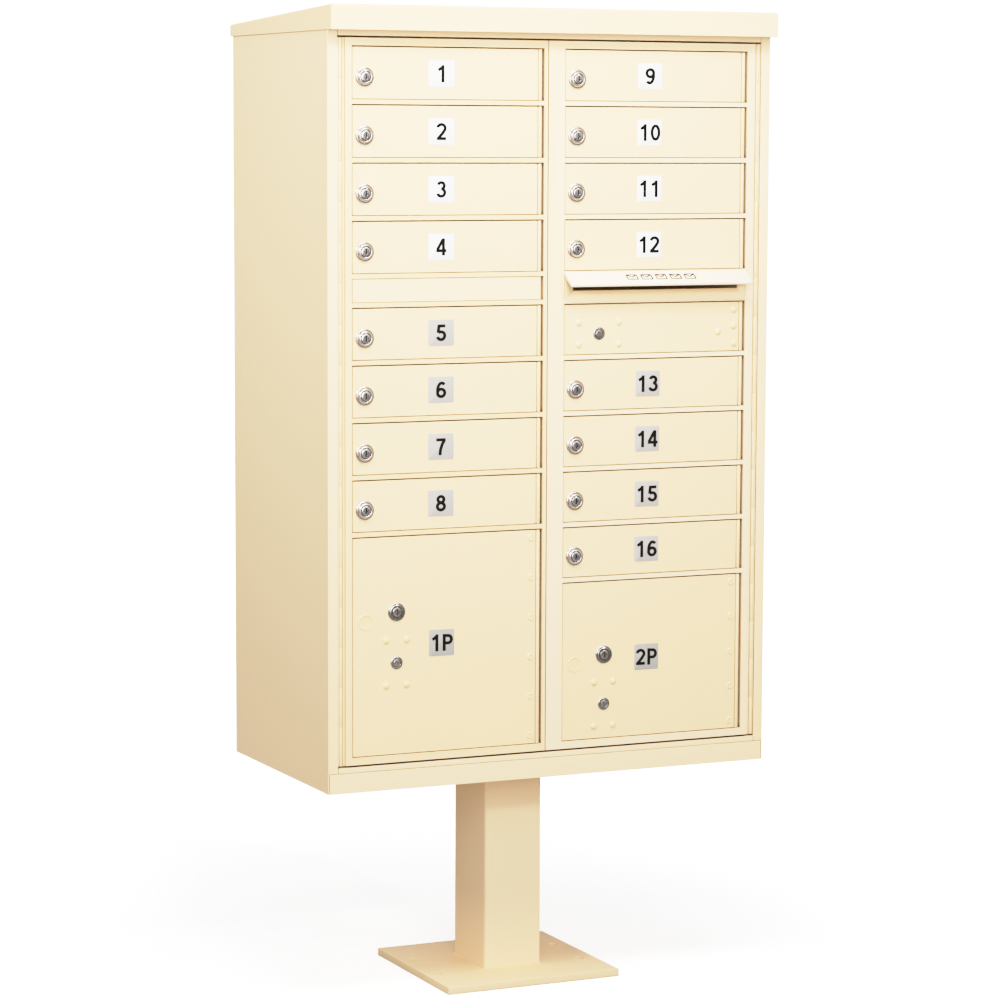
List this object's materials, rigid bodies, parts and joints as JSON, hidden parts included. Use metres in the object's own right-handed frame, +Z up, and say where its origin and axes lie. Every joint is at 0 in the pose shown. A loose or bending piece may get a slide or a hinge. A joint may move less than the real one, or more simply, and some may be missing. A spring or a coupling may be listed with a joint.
{
  "type": "cluster mailbox unit",
  "caption": "Free-standing cluster mailbox on a pedestal: two swinging master doors carry small locking letter and parcel doors, with a hooded outgoing mail slot.",
  "frame": {"origin": "on the ground, under the middle of the unit's bounding box", "axes": "+Z up, -Y the way the doors face, +X to the right of someone facing the doors"},
  "size_m": [0.7746, 0.4466, 1.5746],
  "materials": {
    "cream_powder_coat": "cream powder coat, fine texture, satin",
    "shelf_powder_coat": "cream powder coat, thinner and duller inside",
    "nickel_lock": "nickel plated, lightly scratched",
    "zinc_plated_steel": "zinc plated"
  },
  "bodies": {
    "cabinet": {"anchor_base_plate": "cream_powder_coat", "pedestal_post": "cream_powder_coat", "pedestal_top_plate": "cream_powder_coat", "cabinet_floor_pan": "cream_powder_coat", "left_side_panel": "cream_powder_coat", "right_side_panel": "cream_powder_coat", "back_panel": "cream_powder_coat", "top_hood": "cream_powder_coat", "front_header_rail": "cream_powder_coat", "front_sill_rail": "cream_powder_coat", "left_master_hinge": "cream_powder_coat", "right_master_hinge": "cream_powder_coat", "left_compartment_rack": "shelf_powder_coat", "right_compartment_rack": "shelf_powder_coat"},
    "left_master": {"left_master_frame": "cream_powder_coat", "blank_filler_panel": "cream_powder_coat"},
    "right_master": {"right_master_frame": "cream_powder_coat", "mail_slot_panel": "cream_powder_coat", "outgoing_mail_hood": "cream_powder_coat"},
    "master_latch": {"master_latch": "zinc_plated_steel"},
    "tenant_door_01": {"tenant_door_01": "cream_powder_coat"},
    "tenant_lock_01": {"tenant_lock_01": "nickel_lock"},
    "tenant_door_02": {"tenant_door_02": "cream_powder_coat"},
    "tenant_lock_02": {"tenant_lock_02": "nickel_lock"},
    "tenant_door_03": {"tenant_door_03": "cream_powder_coat"},
    "tenant_lock_03": {"tenant_lock_03": "nickel_lock"},
    "tenant_door_04": {"tenant_door_04": "cream_powder_coat"},
    "tenant_lock_04": {"tenant_lock_04": "nickel_lock"},
    "tenant_door_05": {"tenant_door_05": "cream_powder_coat"},
    "tenant_lock_05": {"tenant_lock_05": "nickel_lock"},
    "tenant_door_06": {"tenant_door_06": "cream_powder_coat"},
    "tenant_lock_06": {"tenant_lock_06": "nickel_lock"},
    "tenant_door_07": {"tenant_door_07": "cream_powder_coat"},
    "tenant_lock_07": {"tenant_lock_07": "nickel_lock"},
    "tenant_door_08": {"tenant_door_08": "cream_powder_coat"},
    "tenant_lock_08": {"tenant_lock_08": "nickel_lock"},
    "tenant_door_09": {"tenant_door_09": "cream_powder_coat"},
    "tenant_lock_09": {"tenant_lock_09": "nickel_lock"},
    "tenant_door_10": {"tenant_door_10": "cream_powder_coat"},
    "tenant_lock_10": {"tenant_lock_10": "nickel_lock"},
    "tenant_door_11": {"tenant_door_11": "cream_powder_coat"},
    "tenant_lock_11": {"tenant_lock_11": "nickel_lock"},
    "tenant_door_12": {"tenant_door_12": "cream_powder_coat"},
    "tenant_lock_12": {"tenant_lock_12": "nickel_lock"},
    "tenant_door_13": {"tenant_door_13": "cream_powder_coat"},
    "tenant_lock_13": {"tenant_lock_13": "nickel_lock"},
    "tenant_door_14": {"tenant_door_14": "cream_powder_coat"},
    "tenant_lock_14": {"tenant_lock_14": "nickel_lock"},
    "tenant_door_15": {"tenant_door_15": "cream_powder_coat"},
    "tenant_lock_15": {"tenant_lock_15": "nickel_lock"},
    "tenant_door_16": {"tenant_door_16": "cream_powder_coat"},
    "tenant_lock_16": {"tenant_lock_16": "nickel_lock"},
    "parcel_door_1": {"parcel_door_1": "cream_powder_coat"},
    "parcel_lock_1": {"parcel_lock_1": "nickel_lock"},
    "carrier_lock_1": {"carrier_lock_1": "nickel_lock"},
    "parcel_door_2": {"parcel_door_2": "cream_powder_coat"},
    "parcel_lock_2": {"parcel_lock_2": "nickel_lock"},
    "carrier_lock_2": {"carrier_lock_2": "nickel_lock"},
    "outgoing_mail_door": {"outgoing_mail_door": "cream_powder_coat"},
    "outgoing_mail_lock": {"outgoing_mail_lock": "nickel_lock"}
  },
  "joints": [
    {"name": "left_master_swing", "type": "hinge", "parent": "cabinet", "child": "left_master", "pos_m": [-0.36322, -0.19355, 0.39929], "axis": [0, 0, -1], "range_deg": [0, 105]},
    {"name": "right_master_swing", "type": "hinge", "parent": "cabinet", "child": "right_master", "pos_m": [0.36322, -0.19355, 0.39929], "axis": [0, 0, 1], "range_deg": [0, 105]},
    {"name": "master_latch_turn", "type": "hinge", "parent": "right_master", "child": "master_latch", "pos_m": [-0.00127, -0.18186, 1.07163], "axis": [0, -1, 0], "range_deg": [0, 90]},
    {"name": "tenant_door_01_swing", "type": "hinge", "parent": "left_master", "child": "tenant_door_01", "pos_m": [-0.02515, -0.19279, 1.43078], "axis": [0, 0, 1], "range_deg": [0, 100]},
    {"name": "tenant_lock_01_turn", "type": "hinge", "parent": "tenant_door_01", "child": "tenant_lock_01", "pos_m": [-0.32309, -0.1971, 1.46507], "axis": [0, 1, 0], "range_deg": [0, 90]},
    {"name": "tenant_door_02_swing", "type": "hinge", "parent": "left_master", "child": "tenant_door_02", "pos_m": [-0.02515, -0.19279, 1.34188], "axis": [0, 0, 1], "range_deg": [0, 100]},
    {"name": "tenant_lock_02_turn", "type": "hinge", "parent": "tenant_door_02", "child": "tenant_lock_02", "pos_m": [-0.32309, -0.1971, 1.37617], "axis": [0, 1, 0], "range_deg": [0, 90]},
    {"name": "tenant_door_03_swing", "type": "hinge", "parent": "left_master", "child": "tenant_door_03", "pos_m": [-0.02515, -0.19279, 1.25298], "axis": [0, 0, 1], "range_deg": [0, 100]},
    {"name": "tenant_lock_03_turn", "type": "hinge", "parent": "tenant_door_03", "child": "tenant_lock_03", "pos_m": [-0.32309, -0.1971, 1.28727], "axis": [0, 1, 0], "range_deg": [0, 90]},
    {"name": "tenant_door_04_swing", "type": "hinge", "parent": "left_master", "child": "tenant_door_04", "pos_m": [-0.02515, -0.19279, 1.16408], "axis": [0, 0, 1], "range_deg": [0, 100]},
    {"name": "tenant_lock_04_turn", "type": "hinge", "parent": "tenant_door_04", "child": "tenant_lock_04", "pos_m": [-0.32309, -0.1971, 1.19837], "axis": [0, 1, 0], "range_deg": [0, 90]},
    {"name": "tenant_door_05_swing", "type": "hinge", "parent": "left_master", "child": "tenant_door_05", "pos_m": [-0.02515, -0.19279, 1.03073], "axis": [0, 0, 1], "range_deg": [0, 100]},
    {"name": "tenant_lock_05_turn", "type": "hinge", "parent": "tenant_door_05", "child": "tenant_lock_05", "pos_m": [-0.32309, -0.1971, 1.06502], "axis": [0, 1, 0], "range_deg": [0, 90]},
    {"name": "tenant_door_06_swing", "type": "hinge", "parent": "left_master", "child": "tenant_door_06", "pos_m": [-0.02515, -0.19279, 0.94183], "axis": [0, 0, 1], "range_deg": [0, 100]},
    {"name": "tenant_lock_06_turn", "type": "hinge", "parent": "tenant_door_06", "child": "tenant_lock_06", "pos_m": [-0.32309, -0.1971, 0.97612], "axis": [0, 1, 0], "range_deg": [0, 90]},
    {"name": "tenant_door_07_swing", "type": "hinge", "parent": "left_master", "child": "tenant_door_07", "pos_m": [-0.02515, -0.19279, 0.85293], "axis": [0, 0, 1], "range_deg": [0, 100]},
    {"name": "tenant_lock_07_turn", "type": "hinge", "parent": "tenant_door_07", "child": "tenant_lock_07", "pos_m": [-0.32309, -0.1971, 0.88722], "axis": [0, 1, 0], "range_deg": [0, 90]},
    {"name": "tenant_door_08_swing", "type": "hinge", "parent": "left_master", "child": "tenant_door_08", "pos_m": [-0.02515, -0.19279, 0.76403], "axis": [0, 0, 1], "range_deg": [0, 100]},
    {"name": "tenant_lock_08_turn", "type": "hinge", "parent": "tenant_door_08", "child": "tenant_lock_08", "pos_m": [-0.32309, -0.1971, 0.79832], "axis": [0, 1, 0], "range_deg": [0, 90]},
    {"name": "tenant_door_09_swing", "type": "hinge", "parent": "right_master", "child": "tenant_door_09", "pos_m": [0.3368, -0.19279, 1.43078], "axis": [0, 0, 1], "range_deg": [0, 100]},
    {"name": "tenant_lock_09_turn", "type": "hinge", "parent": "tenant_door_09", "child": "tenant_lock_09", "pos_m": [0.03886, -0.1971, 1.46507], "axis": [0, 1, 0], "range_deg": [0, 90]},
    {"name": "tenant_door_10_swing", "type": "hinge", "parent": "right_master", "child": "tenant_door_10", "pos_m": [0.3368, -0.19279, 1.34188], "axis": [0, 0, 1], "range_deg": [0, 100]},
    {"name": "tenant_lock_10_turn", "type": "hinge", "parent": "tenant_door_10", "child": "tenant_lock_10", "pos_m": [0.03886, -0.1971, 1.37617], "axis": [0, 1, 0], "range_deg": [0, 90]},
    {"name": "tenant_door_11_swing", "type": "hinge", "parent": "right_master", "child": "tenant_door_11", "pos_m": [0.3368, -0.19279, 1.25298], "axis": [0, 0, 1], "range_deg": [0, 100]},
    {"name": "tenant_lock_11_turn", "type": "hinge", "parent": "tenant_door_11", "child": "tenant_lock_11", "pos_m": [0.03886, -0.1971, 1.28727], "axis": [0, 1, 0], "range_deg": [0, 90]},
    {"name": "tenant_door_12_swing", "type": "hinge", "parent": "right_master", "child": "tenant_door_12", "pos_m": [0.3368, -0.19279, 1.16408], "axis": [0, 0, 1], "range_deg": [0, 100]},
    {"name": "tenant_lock_12_turn", "type": "hinge", "parent": "tenant_door_12", "child": "tenant_lock_12", "pos_m": [0.03886, -0.1971, 1.19837], "axis": [0, 1, 0], "range_deg": [0, 90]},
    {"name": "tenant_door_13_swing", "type": "hinge", "parent": "right_master", "child": "tenant_door_13", "pos_m": [0.3368, -0.19279, 0.94183], "axis": [0, 0, 1], "range_deg": [0, 100]},
    {"name": "tenant_lock_13_turn", "type": "hinge", "parent": "tenant_door_13", "child": "tenant_lock_13", "pos_m": [0.03886, -0.1971, 0.97612], "axis": [0, 1, 0], "range_deg": [0, 90]},
    {"name": "tenant_door_14_swing", "type": "hinge", "parent": "right_master", "child": "tenant_door_14", "pos_m": [0.3368, -0.19279, 0.85293], "axis": [0, 0, 1], "range_deg": [0, 100]},
    {"name": "tenant_lock_14_turn", "type": "hinge", "parent": "tenant_door_14", "child": "tenant_lock_14", "pos_m": [0.03886, -0.1971, 0.88722], "axis": [0, 1, 0], "range_deg": [0, 90]},
    {"name": "tenant_door_15_swing", "type": "hinge", "parent": "right_master", "child": "tenant_door_15", "pos_m": [0.3368, -0.19279, 0.76403], "axis": [0, 0, 1], "range_deg": [0, 100]},
    {"name": "tenant_lock_15_turn", "type": "hinge", "parent": "tenant_door_15", "child": "tenant_lock_15", "pos_m": [0.03886, -0.1971, 0.79832], "axis": [0, 1, 0], "range_deg": [0, 90]},
    {"name": "tenant_door_16_swing", "type": "hinge", "parent": "right_master", "child": "tenant_door_16", "pos_m": [0.3368, -0.19279, 0.67513], "axis": [0, 0, 1], "range_deg": [0, 100]},
    {"name": "tenant_lock_16_turn", "type": "hinge", "parent": "tenant_door_16", "child": "tenant_lock_16", "pos_m": [0.03886, -0.1971, 0.70942], "axis": [0, 1, 0], "range_deg": [0, 90]},
    {"name": "parcel_door_1_swing", "type": "hinge", "parent": "left_master", "child": "parcel_door_1", "pos_m": [-0.02515, -0.19279, 0.41123], "axis": [0, 0, 1], "range_deg": [0, 100]},
    {"name": "parcel_lock_1_turn", "type": "hinge", "parent": "parcel_door_1", "child": "parcel_lock_1", "pos_m": [-0.26949, -0.1971, 0.63678], "axis": [0, -1, 0], "range_deg": [0, 90]},
    {"name": "carrier_lock_1_turn", "type": "hinge", "parent": "parcel_door_1", "child": "carrier_lock_1", "pos_m": [-0.26949, -0.1971, 0.55677], "axis": [0, 1, 0], "range_deg": [0, 90]},
    {"name": "parcel_door_2_swing", "type": "hinge", "parent": "right_master", "child": "parcel_door_2", "pos_m": [0.3368, -0.19279, 0.41123], "axis": [0, 0, 1], "range_deg": [0, 100]},
    {"name": "parcel_lock_2_turn", "type": "hinge", "parent": "parcel_door_2", "child": "parcel_lock_2", "pos_m": [0.09246, -0.1971, 0.54788], "axis": [0, -1, 0], "range_deg": [0, 90]},
    {"name": "carrier_lock_2_turn", "type": "hinge", "parent": "parcel_door_2", "child": "carrier_lock_2", "pos_m": [0.09246, -0.1971, 0.46787], "axis": [0, 1, 0], "range_deg": [0, 90]},
    {"name": "outgoing_mail_door_swing", "type": "hinge", "parent": "right_master", "child": "outgoing_mail_door", "pos_m": [0.3368, -0.19279, 1.03073], "axis": [0, 0, 1], "range_deg": [0, 100]},
    {"name": "outgoing_mail_lock_turn", "type": "hinge", "parent": "outgoing_mail_door", "child": "outgoing_mail_lock", "pos_m": [0.07976, -0.1971, 1.06451], "axis": [0, 1, 0], "range_deg": [0, 90]}
  ]
}
